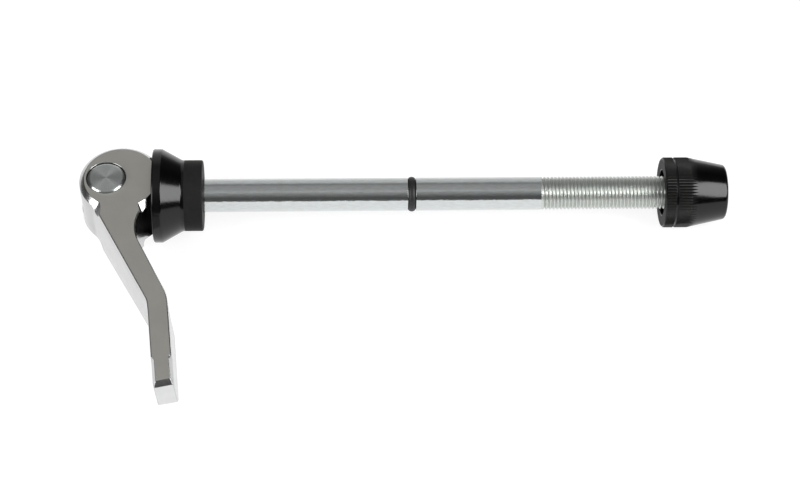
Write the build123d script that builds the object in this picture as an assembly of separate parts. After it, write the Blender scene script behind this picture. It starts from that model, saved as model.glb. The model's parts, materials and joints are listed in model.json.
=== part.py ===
from build123d import *
import os
from math import asin, atan2, cos, degrees, hypot, radians, sin, sqrt, tan

# Quick release skewer for a 9 mm hub axle, lever closed, in millimetres and degrees.
# The rod lies along X with the lever at -X and the nut at +X.
# The origin is the centre of the cup's clamp face.
# The lever points to -Y and dips to the surface that the skewer lies on.

# Rod and its thread
rod_diameter = 9.0
clamp_span = 124.0
thread_diameter = 8.9
thread_start = 91.2
spigot_diameter = 6.0
spigot_past_pin = 3.5
rod_edge = 0.7
rod_end_inset = 0.9

# Rubber ring in its groove on the rod
ring_position = 56.1
ring_section = 1.8
ring_proud = 0.35
ring_side_gap = 0.2

# Cup that the cam pushes
cup_length = 13.3
cup_rim_radius = 12.6
cup_rim_land = 2.4
cup_rim_wall = 1.2
cup_collar_radius = 9.55
cup_collar_length = 5.5
cup_blend = 0.42
cup_edge = 0.45
seat_radius = 30.0

# Lever head, an eccentric round disc on the pivot pin
pin_to_clamp_face = 25.5
pin_diameter = 10.4
pin_proud = 0.2
pin_edge = 0.7
fork_width = 16.0
head_radius = 11.1
cam_offset = 3.9
head_edge = 1.3
head_edge_inner_stop = 28.5
head_edge_outer_stop = 33.5

# Lever arm, seen along the pivot pin
bend_reach = 38.6
bend_offset = 14.65
lever_reach = 63.7
neck_lean = 6.915
neck_thickness = 5.1
blade_angle = 5.0
blade_lean = 4.6
blade_thickness = 4.9
neck_inner_round = 11.0
neck_outer_round = 4.0
bend_inner_round = 3.0
bend_outer_round = 5.0
tip_angle = 9.0

# Lever arm, seen from its end
taper_start = 10.0
tip_width = 10.6
tip_edge = 1.3
tip_side_edge = 0.7
tip_side_length = 7.0

# Adjusting nut
nut_length = 17.1
nut_radius = 9.5
nut_face_edge = 0.55
nut_end_radius = 7.3
nut_end_edge = 0.7
grip_length = 7.6
grip_groove_position = 3.1
grip_groove_width = 0.6
grip_groove_depth = 0.55
grip_teeth = 72
tooth_depth = 0.42
counterbore_diameter = 12.2
counterbore_depth = 4.0

# Plastic lock ring inside the nut
lock_ring_diameter = 11.8
lock_ring_length = 3.0
lock_ring_lip = 1.2

# Clearances between pieces
running_gap = 0.05
screwed_gap = 0.02
cup_bore_gap = 0.08
seat_gap = 0.15
fork_slot_gap = 0.3
shoulder_gap = 0.8
lock_ring_gap = 0.05

# Sizes that follow from the driving ones
rod_radius = rod_diameter / 2
thread_radius = thread_diameter / 2
pin_x = -pin_to_clamp_face
cam_reach = head_radius + cam_offset
seat_x = pin_x + cam_reach + seat_gap
shank_start = pin_x + cam_reach + shoulder_gap
nut_end = clamp_span + nut_length
slot_width = spigot_diameter + 2 * fork_slot_gap
slot_floor = spigot_diameter / 2 + fork_slot_gap
nut_bore_radius = thread_radius + running_gap
taper_fall = (fork_width - tip_width) / 2 / (lever_reach - taper_start)
margin = 2.0

# The lower edge of the lever's tip meets the surface that the cup's rim lies on.
lever_dip = degrees(
    asin(cup_rim_radius / hypot(lever_reach, tip_width / 2))
    - atan2(tip_width / 2, lever_reach)
)

# The neck's middle line runs through the bend and passes the head's centre at the neck's lean.
neck_angle = degrees(
    atan2(bend_offset - cam_offset, bend_reach)
    + asin(neck_lean / hypot(bend_offset - cam_offset, bend_reach))
)

# The blade's flanks lean, so the bend lies further along the neck on the lever's lower face.
bend_slant = (
    fork_width * tan(radians(blade_lean)) * cos(radians(blade_angle))
    / sin(radians(neck_angle - blade_angle))
)


def on_skewer(sketch_points):
    """A closed turned profile, given as (x, radius) corners, in the XY plane."""
    return make_face(Polyline(*sketch_points, close=True))


def turned(profile):
    """The profile turned once round the skewer's axis."""
    return revolve(profile, Axis.X)


def bar(radius, start, end):
    """A round bar on the skewer's axis from one x to another."""
    return Pos(start, 0, 0) * Rot(0, 90, 0) * Cylinder(
        radius, end - start, align=(Align.CENTER, Align.CENTER, Align.MIN)
    )


def dipped(shape):
    """The lever's own frame, with the pin along Z, turned to the lever's dip."""
    return Rot(lever_dip, 0, 0) * Pos(pin_x, 0, 0) * shape


def make_rod():
    """Shank with a spigot at the lever, a ring groove and a chamfered screw end."""
    floor_radius = rod_radius + ring_proud - ring_section
    groove_half = ring_section / 2 + ring_side_gap
    rod_end = nut_end - rod_end_inset
    return turned(on_skewer([
        (pin_x - spigot_past_pin, 0),
        (pin_x - spigot_past_pin, spigot_diameter / 2),
        (shank_start, spigot_diameter / 2),
        (shank_start, rod_radius - rod_edge),
        (shank_start + rod_edge, rod_radius),
        (ring_position - groove_half, rod_radius),
        (ring_position - groove_half, floor_radius),
        (ring_position + groove_half, floor_radius),
        (ring_position + groove_half, rod_radius),
        (thread_start, rod_radius),
        (thread_start, thread_radius),
        (rod_end - rod_edge, thread_radius),
        (rod_end, thread_radius - rod_edge),
        (rod_end, 0),
    ]))


def make_rubber_ring():
    """Ring of eight-sided section that lies on the floor of its groove."""
    middle_radius = rod_radius + ring_proud - ring_section / 2
    section_radius = ring_section / 2 - screwed_gap
    octagon = RegularPolygon(section_radius, 8, major_radius=False, rotation=22.5)
    section = Pos(ring_position, middle_radius) * octagon
    return revolve(section, Axis.X)


def make_pivot_pin():
    """Barrel pin with chamfered ends and a blind cross hole for the rod's spigot."""
    barrel = Cylinder(pin_diameter / 2, fork_width + 2 * pin_proud)
    barrel = chamfer(barrel.edges().filter_by(GeomType.CIRCLE), pin_edge)
    hole_start = -spigot_past_pin - screwed_gap
    hole = bar(spigot_diameter / 2 + screwed_gap, hole_start, pin_diameter)
    return dipped(barrel - hole)


def make_cup():
    """Turned cup: collar, cone and rim outside, a dish with a hollow seat for the cam inside."""
    rim_x = -cup_length
    cone_start = rim_x + cup_rim_land
    outside = on_skewer([
        (rim_x, 0),
        (rim_x, cup_rim_radius),
        (cone_start, cup_rim_radius),
        (-cup_collar_length, cup_collar_radius),
        (0, cup_collar_radius),
        (0, 0),
    ])
    for corner in ((cone_start, cup_rim_radius), (-cup_collar_length, cup_collar_radius)):
        outside = chamfer(outside.vertices().sort_by_distance(corner)[:1], cup_blend)
    for corner in ((rim_x, cup_rim_radius), (0, cup_collar_radius)):
        outside = chamfer(outside.vertices().sort_by_distance(corner)[:1], cup_edge)
    body = turned(outside)
    dish = bar(cup_rim_radius - cup_rim_wall, rim_x - margin, 0)
    seat = Pos(seat_x - seat_radius, 0, 0) * Cylinder(seat_radius, 4 * cup_rim_radius)
    bore = bar(rod_radius + cup_bore_gap, rim_x - margin, margin)
    return Rot(lever_dip, 0, 0) * (body - (dish & seat) - bore)


def lever_outline(bend_shift):
    """Outline seen along the pin: round head, neck, bend and blade, past the tip at -Y.

    The bend is moved along the neck by the shift.
    """
    head = Vector(cam_offset, 0)
    neck_along = Vector(sin(radians(neck_angle)), -cos(radians(neck_angle)))
    blade_along = Vector(sin(radians(blade_angle)), -cos(radians(blade_angle)))
    bend = Vector(bend_offset, -bend_reach) + neck_along * bend_shift

    def flank(along, thickness, side):
        """A point on one side of a straight stretch through the bend, and the way out of it."""
        out = Vector(-along.Y, along.X) * side
        return bend + out * (thickness / 2), out

    def corner(side):
        """Where the neck's and the blade's flanks meet on one side."""
        a, out = flank(neck_along, neck_thickness, side)
        b, blade_out = flank(blade_along, blade_thickness, side)
        run = (b - a).dot(blade_out) / neck_along.dot(blade_out)
        return a + neck_along * run

    def tip(side):
        """Where the blade's flank has passed the end of the lever."""
        point, _ = flank(blade_along, blade_thickness, side)
        return point + blade_along * ((-lever_reach - margin - point.Y) / blade_along.Y)

    def neck_round(side, radius):
        """Points of the round between head and neck: on the head, half way, on the neck."""
        point, out = flank(neck_along, neck_thickness, side)
        start = point + out * radius - head
        along = start.dot(neck_along)
        run = sqrt(along**2 - start.dot(start) + (head_radius + radius) ** 2) - along
        centre = head + start + neck_along * run
        on_head = head + (centre - head).normalized() * head_radius
        on_neck = centre - out * radius
        half = centre + ((on_head - centre) + (on_neck - centre)).normalized() * radius
        return on_head, half, on_neck

    inner = neck_round(1, neck_inner_round)
    outer = neck_round(-1, neck_outer_round)
    crown = head + Vector(0, head_radius)
    outline = make_face([
        ThreePointArc(inner[0], crown, outer[0]),
        ThreePointArc(*outer),
        Polyline(outer[2], corner(-1), tip(-1), tip(1), corner(1), inner[2]),
        ThreePointArc(*reversed(inner)),
    ])
    for side, radius in ((-1, bend_inner_round), (1, bend_outer_round)):
        outline = fillet(outline.vertices().sort_by_distance(corner(side))[:1], radius)
    return outline


def lever_form():
    """Lever without its edges and cuts: a straight head and neck, and a leaning blade."""
    half = fork_width / 2
    head = extrude(lever_outline(0), half, both=True)
    arm = loft(
        [Pos(0, 0, half) * lever_outline(0), Pos(0, 0, -half) * lever_outline(bend_slant)],
        ruled=True,
    )
    joint = Plane.XZ.offset((head_radius + bend_reach) / 2)
    return split(head, joint, keep=Keep.BOTTOM) + split(arm, joint, keep=Keep.TOP)


def side_block(upper):
    """Wide block whose section, seen along the skewer, has these (y, z) corners and their mirror."""
    lower = [(y, -z) for y, z in reversed(upper)]
    side = Plane.YZ * make_face(Polyline(*upper, *lower, close=True))
    return extrude(side, 2 * lever_reach, both=True)


def side_taper():
    """Block that gives the lever its parallel head and tapering arm."""
    return side_block([
        (head_radius + margin, fork_width / 2),
        (-taper_start, fork_width / 2),
        (-lever_reach - margin, tip_width / 2 - taper_fall * margin),
    ])


def tip_trim():
    """Block that ends the arm at the tip's slant, with a chamfer on the upper and lower edge."""
    high = fork_width / 2 + margin
    shoulder = tip_width / 2 + taper_fall * tip_edge
    block = side_block([
        (2 * lever_reach, high),
        (tip_edge + high - shoulder, high),
        (0, shoulder - tip_edge),
    ])
    tip_x = bend_offset + (lever_reach - bend_reach) * tan(radians(blade_angle))
    return Pos(tip_x, -lever_reach, 0) * Rot(0, 0, tip_angle) * block


def head_chamfers():
    """Two cone-shaped cuts round the head, which run on past it and stop beside the neck."""
    half = fork_width / 2
    reach = head_radius + margin
    cut = make_face(Polyline(
        (reach, half - head_edge - margin),
        (head_radius - head_edge - margin, half + margin),
        (reach, half + margin),
        close=True,
    ))
    upper = revolve(Plane.XZ * cut, Axis.Z, 360 - head_edge_inner_stop - head_edge_outer_stop)
    upper = Pos(cam_offset, 0, 0) * Rot(0, 0, head_edge_inner_stop - 90) * upper
    return [upper, mirror(upper, Plane.XY)]


def make_lever():
    """Forked cam lever with a through bore for the pin and a slot for the rod's spigot."""
    body = lever_form() & side_taper() & tip_trim()
    for cut in head_chamfers():
        body -= cut
    split_plane = Plane.XZ.offset(lever_reach - tip_side_length)
    tip_block = split(body, split_plane, keep=Keep.TOP)
    body = split(body, split_plane, keep=Keep.BOTTOM)
    upper_edges = tip_block.edges().filter_by(
        lambda e: abs(e.tangent_at(0.5).Y) > 0.9 and e.center().Z > 0
    )
    body += chamfer(upper_edges, tip_side_edge)
    span = 2 * (head_radius + cam_offset + margin)
    slot = Box(
        span, span, slot_width, align=(Align.CENTER, Align.MIN, Align.CENTER)
    )
    bore = Cylinder(pin_diameter / 2 + running_gap, fork_width + margin)
    return dipped(body - Pos(0, -slot_floor, 0) * slot - bore)


def grip_cut():
    """Everything outside a ring of pointed teeth, over the whole grip and its run-out."""
    root_radius = nut_radius - tooth_depth
    step = radians(360 / grip_teeth)
    points = []
    for tooth in range(grip_teeth):
        for radius, turn in ((nut_radius, tooth), (root_radius, tooth + 0.5)):
            points.append((radius * cos(turn * step), radius * sin(turn * step)))
    star = make_face(Polyline(*points, close=True))
    ring = Circle(nut_radius + margin) - star
    return Pos(clamp_span - margin, 0, 0) * Rot(0, 90, 0) * extrude(ring, nut_length)


def make_nut():
    """Cone-ended nut: toothed grip in two bands, recessed face, bore and lock ring pocket."""
    groove_start = clamp_span + grip_groove_position - grip_groove_width / 2
    groove_end = groove_start + grip_groove_width
    groove_floor = nut_radius - grip_groove_depth
    outside = on_skewer([
        (clamp_span, 0),
        (clamp_span, nut_radius - nut_face_edge),
        (clamp_span + nut_face_edge, nut_radius),
        (groove_start, nut_radius),
        (groove_start, groove_floor),
        (groove_end, groove_floor),
        (groove_end, nut_radius),
        (clamp_span + grip_length, nut_radius),
        (nut_end, nut_end_radius),
        (nut_end, 0),
    ])
    end_corner = outside.vertices().sort_by_distance((nut_end, nut_end_radius))[:1]
    body = turned(chamfer(end_corner, nut_end_edge)) - grip_cut()
    recess = bar(counterbore_diameter / 2, clamp_span - margin, clamp_span + counterbore_depth)
    bore = bar(nut_bore_radius, clamp_span - margin, nut_end + margin)
    pocket_end = nut_end - lock_ring_lip
    pocket = bar(
        lock_ring_diameter / 2 + lock_ring_gap,
        pocket_end - lock_ring_length - 2 * lock_ring_gap,
        pocket_end,
    )
    return body - recess - bore - pocket


def make_lock_ring():
    """Plain plastic ring in the nut's pocket."""
    start = nut_end - lock_ring_lip - lock_ring_gap - lock_ring_length
    end = start + lock_ring_length
    return bar(lock_ring_diameter / 2, start, end) - bar(nut_bore_radius, start, end)


pieces = {
    "rod": make_rod,
    "rubber_ring": make_rubber_ring,
    "pivot_pin": make_pivot_pin,
    "cup": make_cup,
    "lever": make_lever,
    "nut": make_nut,
    "lock_ring": make_lock_ring,
}

os.makedirs("parts", exist_ok=True)
for name, make in pieces.items():
    export_step(make(), f"parts/{name}.step")
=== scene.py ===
"""Quick release skewer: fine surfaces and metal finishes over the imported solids, in a white studio.

The rod lies along X from the cup to the nut, and the lever points to -Y. Every size field is in
millimetres in the part's own frame, and meshes are written in metres.
"""

from __future__ import annotations

import json
import logging
import math
from dataclasses import dataclass, field, replace
from enum import Enum, IntEnum
from typing import Any, ClassVar

import bmesh
import bpy
import numpy as np
from mathutils import Matrix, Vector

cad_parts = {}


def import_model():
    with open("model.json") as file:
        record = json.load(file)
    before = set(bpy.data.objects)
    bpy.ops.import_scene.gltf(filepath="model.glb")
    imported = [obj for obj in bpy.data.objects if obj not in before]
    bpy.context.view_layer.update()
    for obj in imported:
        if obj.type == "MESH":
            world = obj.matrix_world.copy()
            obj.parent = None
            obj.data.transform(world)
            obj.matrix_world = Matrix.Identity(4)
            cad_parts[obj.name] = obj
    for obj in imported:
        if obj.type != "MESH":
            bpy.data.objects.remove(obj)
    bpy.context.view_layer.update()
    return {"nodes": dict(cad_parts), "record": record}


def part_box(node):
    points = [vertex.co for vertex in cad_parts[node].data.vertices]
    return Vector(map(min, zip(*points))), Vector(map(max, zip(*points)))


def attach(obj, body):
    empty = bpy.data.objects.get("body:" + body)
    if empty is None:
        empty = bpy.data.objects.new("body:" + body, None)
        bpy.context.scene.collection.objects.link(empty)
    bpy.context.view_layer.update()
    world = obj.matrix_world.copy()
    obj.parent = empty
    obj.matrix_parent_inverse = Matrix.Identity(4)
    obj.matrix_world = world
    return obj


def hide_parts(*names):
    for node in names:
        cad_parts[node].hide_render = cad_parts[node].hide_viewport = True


Array = np.ndarray
Colour = tuple[float, float, float]
Pair = tuple[float, float]
Rows = tuple[float, float, int]
Node = bpy.types.Node
Socket = bpy.types.NodeSocket
MM = 0.001
TURN = 2 * math.pi
HALF_CORNER = math.pi / 8
TINY = 1e-6
WELD = 2e-7
SHARP = math.radians(32)
END_STEEPNESS = 3
log = logging.getLogger("skewer")


class Body(str, Enum):
    """Moving bodies that the fine pieces ride on."""

    ROD = "rod"
    LEVER = "lever"
    CUP = "cup"
    NUT = "nut"


class Slot(str, Enum):
    """Finish names that the record gives to the pieces."""

    ROD = "plated_steel"
    PIN = "turned_steel"
    RING = "rubber"
    BLACK = "black_aluminium"
    LEVER = "satin_aluminium"


class Skin(IntEnum):
    """Which of a piece's finishes a face takes."""

    FACE = 0
    EDGE = 1
    CUT = 2
    END = 3


def unit(vectors: Array) -> Array:
    """Vectors over their own lengths, along the last axis."""
    return vectors / np.linalg.norm(vectors, axis=-1, keepdims=True)


def smooth_step(value: Array) -> Array:
    """The curve 3t^2 - 2t^3 with t held between 0 and 1."""
    t = np.clip(value, 0.0, 1.0)
    return t * t * (3 - 2 * t)


def full_turn(columns: int) -> Array:
    """The angles of a full turn, both ends among them."""
    return np.linspace(0, TURN, columns + 1)


def unit_circle(angles: Array) -> Array:
    """The directions (cos, sin) of angles, on a new last axis."""
    return np.stack([np.cos(angles), np.sin(angles)], axis=-1)


def left_of(ways: Array) -> Array:
    """Directions in the plane turned left by a quarter turn."""
    return np.stack([-ways[..., 1], ways[..., 0]], axis=-1)


def rotated(arms: Array, turn: Array) -> Array:
    """Vectors in the plane turned by angles: x*cos - y*sin and x*sin + y*cos."""
    return arms[..., :1] * unit_circle(turn) + arms[..., 1:] * left_of(unit_circle(turn))


def groove(middle: float, width: float, depth: float, radius: float) -> list[Pair]:
    """The four profile corners of a square groove in a turned face of this radius."""
    low, high, floor = middle - width / 2, middle + width / 2, radius - depth
    return [(low, radius), (low, floor), (high, floor), (high, radius)]


def rounded(corners: Array, radii: list[float], steps: int) -> Array:
    """Rounds the inner corners of an open line in the plane.

    A corner turns the line by t. Its arc starts r*tan(|t|/2) before the corner and turns about the
    point at distance r on the inner side: centre + rotate(start - centre, s*t) with s from 0 to 1.

    Args:
        corners: The line's corners, one row each.
        radii: The radius at each corner but the first and the last.
        steps: Straight steps in each arc.

    Returns:
        The points of the rounded line.
    """
    here = corners[1:-1]
    way_in, way_out = unit(here - corners[:-2]), unit(corners[2:] - here)
    turn = np.arctan2((left_of(way_in) * way_out).sum(axis=1), (way_in * way_out).sum(axis=1))
    radius = np.asarray(radii, float)[:, None]
    start = here - way_in * radius * np.tan(np.abs(turn) / 2)[:, None]
    arm = -left_of(way_in) * np.sign(turn)[:, None] * radius
    angle = turn[:, None] * np.linspace(0, 1, steps + 1)
    arcs = rotated(arm[:, None], angle) + (start - arm)[:, None]
    line = np.concatenate([corners[:1], arcs.reshape(-1, 2), corners[-1:]])
    moved = np.linalg.norm(np.diff(line, axis=0), axis=1) > TINY
    return line[np.concatenate([[True], moved])]


def arc_about(centre: Array, start: Array, end: Array, steps: int) -> Array:
    """Points on the shorter arc about a centre: centre + rotate(start - centre, s*turn).

    Args:
        centre: The arc's centre.
        start: Its first point.
        end: Its last point.
        steps: Straight steps along it.

    Returns:
        The arc's points, without the last one.
    """
    a, b = start - centre, end - centre
    turn = math.atan2(left_of(a) @ b, a @ b) * np.linspace(0, 1, steps + 1)[:-1]
    return centre + rotated(a, turn)


def between(first: Array, last: Array, steps: int) -> Array:
    """Rows of points from one row to another: first + s*(last - first), s from 0 to 1."""
    share = np.linspace(0, 1, steps + 1).reshape(-1, *([1] * first.ndim))
    return first + share * (last - first)


def end_skins(profile: Array) -> Array:
    """The skins of a turned profile's steps: an end face where it is much steeper than long."""
    step = np.abs(np.diff(profile, axis=0))
    return np.where(step[:, 1] > END_STEEPNESS * step[:, 0], Skin.EDGE, Skin.FACE)


@dataclass(frozen=True)
class Axes:
    """An origin and three directions in the part's frame."""

    origin: Array
    along: Array
    side: Array
    up: Array

    def place(self, along: Array, side: Array, up: Array) -> Array:
        """Points at origin + a*along + s*side + u*up, with x, y and z on a new last axis."""
        steps = np.stack(np.broadcast_arrays(along, side, up), axis=-1)
        return self.origin + steps @ np.stack([self.along, self.side, self.up])

    def turned(self, along: Array, radius: Array, angles: Array) -> Array:
        """Points at a place along the first direction and a radius, turned from side to up."""
        return self.place(along, radius * np.cos(angles), radius * np.sin(angles))

    def lathed(self, profile: Array, columns: int) -> Array:
        """A profile of (along, radius) points carried once round the first direction."""
        return self.turned(*profile.T[..., None], full_turn(columns))


ROD_AXES = Axes(np.zeros(3), *np.eye(3))


@dataclass(frozen=True)
class Layout:
    """Places of the skewer's pieces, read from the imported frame.

    Attributes:
        pin_x: Where the pivot pin crosses the rod's axis.
        dip: How far the lever leans down from level, in radians.
        rim_x: The cup's open end.
        rim_radius: Outer radius of the cup's rim.
        clamp_x: The nut's clamp face.
        nut_end: The nut's outer end.
        nut_radius: Outer radius of the nut's grip.
        rod_start: The rod's end in the pivot pin.
        rod_end: The rod's end in the nut.
        rod_radius: Radius of the rod's shank.
    """

    pin_x: float
    dip: float
    rim_x: float
    rim_radius: float
    clamp_x: float
    nut_end: float
    nut_radius: float
    rod_start: float
    rod_end: float
    rod_radius: float

    @classmethod
    def read(cls, joints: list[dict[str, Any]]) -> Layout:
        """Measures the layout on the frame's boxes and its lever joint.

        Args:
            joints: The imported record's joints.

        Returns:
            The layout in millimetres and radians.
        """
        swing = next(j for j in joints if j["name"] == "lever_swing")
        cup, nut, rod = (np.array(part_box(name)) / MM for name in ("cup", "nut", "rod"))
        return cls(
            pin_x=swing["pos_m"][0] / MM,
            dip=math.asin(swing["axis"][1]),
            rim_x=cup[0, 0],
            rim_radius=cup[1, 2],
            clamp_x=nut[0, 0],
            nut_end=nut[1, 0],
            nut_radius=nut[1, 2],
            rod_start=rod[0, 0],
            rod_end=rod[1, 0],
            rod_radius=rod[1, 2],
        )

    def lever_axes(self) -> Axes:
        """The lever's frame at the pin: along the rod, towards the tip, and along the pin."""
        c, s = math.cos(self.dip), math.sin(self.dip)
        return Axes(*np.array([(self.pin_x, 0, 0), (1, 0, 0), (0, -c, -s), (0, -s, c)]))


@dataclass
class Surface:
    """Grids of points gathered into one closed surface."""

    points: list[Array] = field(default_factory=list)
    wraps: list[Array] = field(default_factory=list)
    faces: list[Array] = field(default_factory=list)
    skins: list[Array] = field(default_factory=list)
    count: int = 0

    def add(self, grid: Array, skin: int | Array = Skin.FACE, keep: Array | None = None) -> Surface:
        """Adds a grid of points as four-sided faces.

        Face (i, j) joins points (i, j), (i+1, j), (i+1, j+1) and (i, j+1). Its wrap map runs from
        0 to 1 over the columns and grows with the rows.

        Args:
            grid: Points as rows by columns by 3, in millimetres.
            skin: The finish of every face, or one for each face.
            keep: Which faces are made, as rows-1 by columns-1, or all of them.

        Returns:
            The surface itself.
        """
        rows, columns = grid.shape[:2]
        number = np.arange(rows * columns).reshape(rows, columns) + self.count
        corners = [number[:-1, :-1], number[1:, :-1], number[1:, 1:], number[:-1, 1:]]
        quads = np.stack(corners, axis=-1)
        kept = np.ones(quads.shape[:2], bool) if keep is None else keep
        u, v = np.meshgrid(np.linspace(0, 1, columns), np.arange(rows) / rows)
        self.points.append(grid.reshape(-1, 3))
        self.wraps.append(np.stack([u, v], axis=-1).reshape(-1, 2))
        self.faces.append(quads[kept])
        self.skins.append(np.broadcast_to(skin, quads.shape[:2])[kept])
        self.count += rows * columns
        return self

    def mesh(self, name: str) -> bpy.types.Mesh:
        """Writes the surface as a welded mesh with outward faces and sharp creases.

        Args:
            name: The mesh's name.

        Returns:
            The new mesh.
        """
        points, faces = np.concatenate(self.points) * MM, np.concatenate(self.faces)
        mesh = bpy.data.meshes.new(name)
        mesh.from_pydata(points.tolist(), [], faces.tolist())
        mesh.polygons.foreach_set("material_index", np.concatenate(self.skins).astype(np.int32))
        wrap = mesh.uv_layers.new(name="wrap")
        wrap.data.foreach_set("uv", np.concatenate(self.wraps)[faces.ravel()].ravel())
        shell = bmesh.new()
        shell.from_mesh(mesh)
        bmesh.ops.remove_doubles(shell, verts=shell.verts, dist=WELD)
        bmesh.ops.dissolve_degenerate(shell, edges=shell.edges, dist=WELD)
        bmesh.ops.recalc_face_normals(shell, faces=shell.faces)
        open_edges = sum(not edge.is_manifold for edge in shell.edges)
        log.info("%s: %d faces, %d open edges", name, len(shell.faces), open_edges)
        shell.to_mesh(mesh)
        shell.free()
        mesh.shade_smooth()
        mesh.set_sharp_from_angle(angle=SHARP)
        return mesh


def put(name: str, data: bpy.types.ID, axes: Axes = ROD_AXES) -> bpy.types.Object:
    """Puts a mesh, lamp or camera in the scene.

    Args:
        name: The new object's name.
        data: The mesh, lamp or camera.
        axes: Its place in metres and its own X, Y and Z.

    Returns:
        The new object.
    """
    made = bpy.data.objects.new(name, data)
    stand = np.eye(4)
    stand[:3] = np.stack([axes.along, axes.side, axes.up, axes.origin], axis=1)
    made.matrix_world = Matrix(stand.tolist())
    bpy.context.scene.collection.objects.link(made)
    return made


class Nodes:
    """A tree of nodes, with short calls to add and join them."""

    def __init__(self, tree: bpy.types.NodeTree) -> None:
        """Takes the tree of a material or of the sky."""
        self.tree = tree

    def feed(self, node: Node, *values: Any, **inputs: Any) -> Node:
        """Sets a node's inputs: joins a socket, writes a value and passes over None.

        Args:
            node: The node.
            values: Values or sockets for its first inputs.
            inputs: Values or sockets by input, with the input's name spelt with _ for a space.

        Returns:
            The same node.
        """
        named = [(name.replace("_", " "), value) for name, value in inputs.items()]
        for place, value in [*enumerate(values), *named]:
            if isinstance(value, Socket):
                self.tree.links.new(value, node.inputs[place])
            elif value is not None:
                node.inputs[place].default_value = value
        return node

    def add(self, kind: str, *values: Any, setup: dict[str, Any] | None = None, **inputs: Any) -> Node:
        """Adds a node, sets its properties and then its inputs.

        Args:
            kind: The node's type, without the word that all of them start with.
            values: Values or sockets for its first inputs.
            setup: Its properties by name.
            inputs: Values or sockets by input.

        Returns:
            The new node.
        """
        node = self.tree.nodes.new(f"ShaderNode{kind}")
        for name, value in (setup or {}).items():
            setattr(node, name, value)
        return self.feed(node, *values, **inputs)

    def number(self, operation: str, *values: float | Socket) -> Socket:
        """The result of a sum on numbers or sockets."""
        return self.add("Math", *values, setup={"operation": operation}).outputs[0]

    def ranged(self, value: Socket, edges: Pair, results: Pair, curve: str = "LINEAR") -> Socket:
        """A value carried from the range between two edges to the range between two results."""
        node = self.add("MapRange", value, *edges, *results, setup={"interpolation_type": curve})
        return node.outputs["Result"]


class Shader(Nodes):
    """A material's nodes, with the patterns that finishes are made of.

    Attributes:
        mix_places: The two colour inputs and the colour output of a mixing node.
    """

    mix_places: ClassVar[tuple[int, int, int]] = (6, 7, 2)

    def __init__(self, name: str) -> None:
        """Starts a material that has only its surface shader.

        Args:
            name: The material's name.
        """
        self.material = bpy.data.materials.new(name)
        self.material.use_nodes = True
        super().__init__(self.material.node_tree)
        self.skin = self.tree.nodes["Principled BSDF"]

    def noise(self, stretch: Colour, size: float, detail: float) -> Socket:
        """A cloud pattern on the piece's own coordinates.

        Args:
            stretch: How tightly it is packed along X, Y and Z.
            size: The size of its largest spots in millimetres.
            detail: How many finer layers it has.

        Returns:
            The pattern's value, about 0.5 on average.
        """
        own = self.add("TexCoord").outputs["Object"]
        where = self.add("Mapping", Vector=own, Scale=stretch).outputs["Vector"]
        cloud = self.add("TexNoise", Vector=where, Scale=1 / (size * MM), Detail=detail)
        return cloud.outputs["Fac"]

    def blended(self, share: Socket, first: Colour, second: Colour) -> Socket:
        """A colour between two.

        Args:
            share: A pattern from 0 to 1.
            first: The colour at 0.
            second: The colour at 1.

        Returns:
            The mixed colour.
        """
        mix = self.add("Mix", share, setup={"data_type": "RGBA"})
        low, high, result = self.mix_places
        mix.inputs[low].default_value = (*first, 1)
        mix.inputs[high].default_value = (*second, 1)
        return mix.outputs[result]

    def relief(self, height: Socket, depth: float, below: Socket | None = None) -> Socket:
        """The normal of a pattern raised by a depth in millimetres, on another such normal."""
        bump = self.add("Bump", Height=height, Distance=depth * MM, Strength=1.0, Normal=below)
        return bump.outputs["Normal"]


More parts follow.
